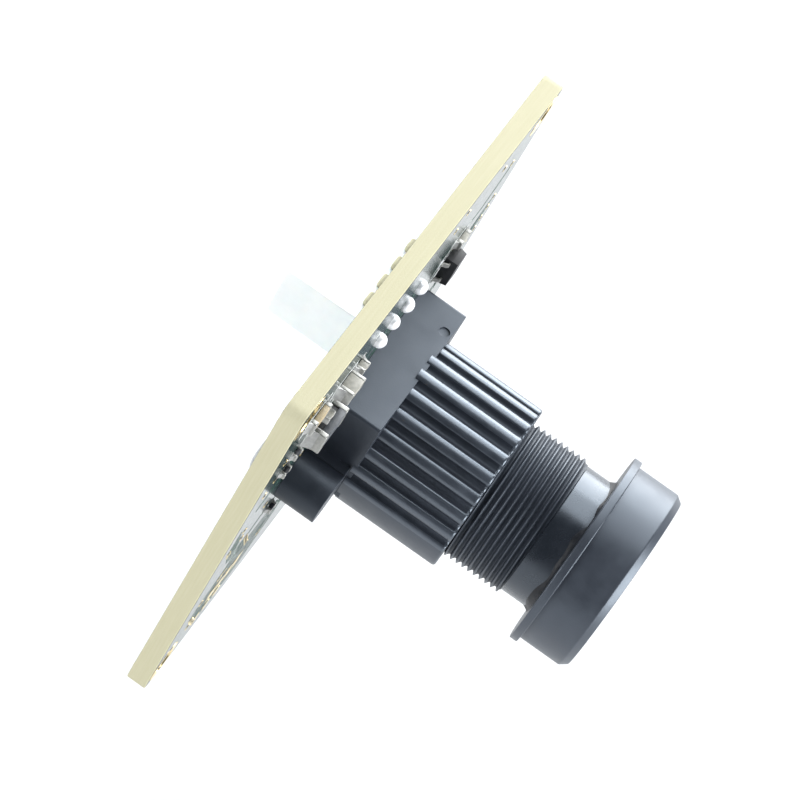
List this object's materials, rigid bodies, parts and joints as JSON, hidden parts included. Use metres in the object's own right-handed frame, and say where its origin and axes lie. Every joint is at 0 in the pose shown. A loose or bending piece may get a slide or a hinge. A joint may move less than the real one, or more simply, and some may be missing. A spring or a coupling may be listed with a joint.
{
  "type": "board camera module",
  "caption": "Square circuit-board camera module with a grooved black lens holder, a long screw-in lens with a flanged head, and a white wire header behind the board.",
  "frame": {"origin": "centre of the four-hole pattern, on the plane of the rear copper rings of the board", "axes": "+Y out of the board's rear face, towards the carrier; -Y along the lens axis towards the scene; +Z towards the board edge nearest the wire header; +X to the right seen from in front of the lens"},
  "size_m": [0.038, 0.0314, 0.038],
  "materials": {
    "board": "green solder mask on both faces over pale cream glass laminate at the edges",
    "holder_plastic": "blue-black moulded plastic, satin",
    "lens_plastic": "blue-black moulded plastic, satin",
    "black_metal": "blackened, matt",
    "screw_steel": "zinc plated",
    "filter_glass": "pale cyan coated",
    "coated_glass": "anti-reflection coated",
    "header_nylon": "white moulded nylon",
    "tinned_metal": "bright solder and tinned pins",
    "sensor_die": "polished silicon",
    "crystal_can": "plain metal lid",
    "grey_case": "grey ferrite body with tinned ends",
    "ceramic": "tan ceramic body with tinned ends",
    "black_mould": "matt black moulding"
  },
  "bodies": {
    "camera_board": {"circuit_board": "board", "lens_holder": "holder_plastic", "holder_screw_left": "screw_steel", "holder_screw_right": "screw_steel", "ir_filter": "filter_glass", "image_sensor_package": "black_mould", "sensor_die": "sensor_die", "sensor_cover_glass": "coated_glass", "connector_housing": "header_nylon", "connector_terminal_1": "tinned_metal", "connector_terminal_2": "tinned_metal", "connector_terminal_3": "tinned_metal", "connector_terminal_4": "tinned_metal", "front_regulator": "black_mould", "front_inductor": "grey_case", "front_capacitor_tan": "ceramic", "front_capacitor_large": "ceramic", "front_capacitor_small": "ceramic", "front_capacitor_side": "ceramic", "front_capacitor_mid": "ceramic", "front_resistor_upper": "black_mould", "front_resistor_lower": "black_mould", "front_resistor_ear": "black_mould", "rear_processor": "black_mould", "rear_memory": "black_mould", "rear_crystal": "crystal_can", "rear_capacitor_left": "ceramic", "rear_capacitor_right": "ceramic", "rear_capacitor_low": "ceramic", "rear_resistor_left": "black_mould", "rear_resistor_right": "black_mould", "rear_inductor": "grey_case"},
    "lens_optics": {"front_element": "coated_glass", "second_element": "coated_glass", "rear_element": "coated_glass", "front_spacer_ring": "black_metal", "middle_spacer_ring": "black_metal", "rear_spacer_ring": "black_metal"},
    "lens_tube": {"lens_barrel": "lens_plastic", "lens_head": "lens_plastic", "front_retaining_ring": "black_metal", "rear_retaining_ring": "black_metal", "aperture_stop": "black_metal"}
  },
  "joints": [
    {"name": "focus_travel", "type": "slide", "parent": "camera_board", "child": "lens_optics", "axis": [0, -1, 0], "range_m": [-0.001, 0.003]},
    {"name": "focus_turn", "type": "hinge", "parent": "lens_optics", "child": "lens_tube", "pos_m": [0, -0.0016, 0], "axis": [0, -1, 0], "range_deg": [-720, 2160]}
  ],
  "couplings": [
    {"joint": "focus_turn", "follows": "focus_travel", "rad_per_m": 12566}
  ]
}
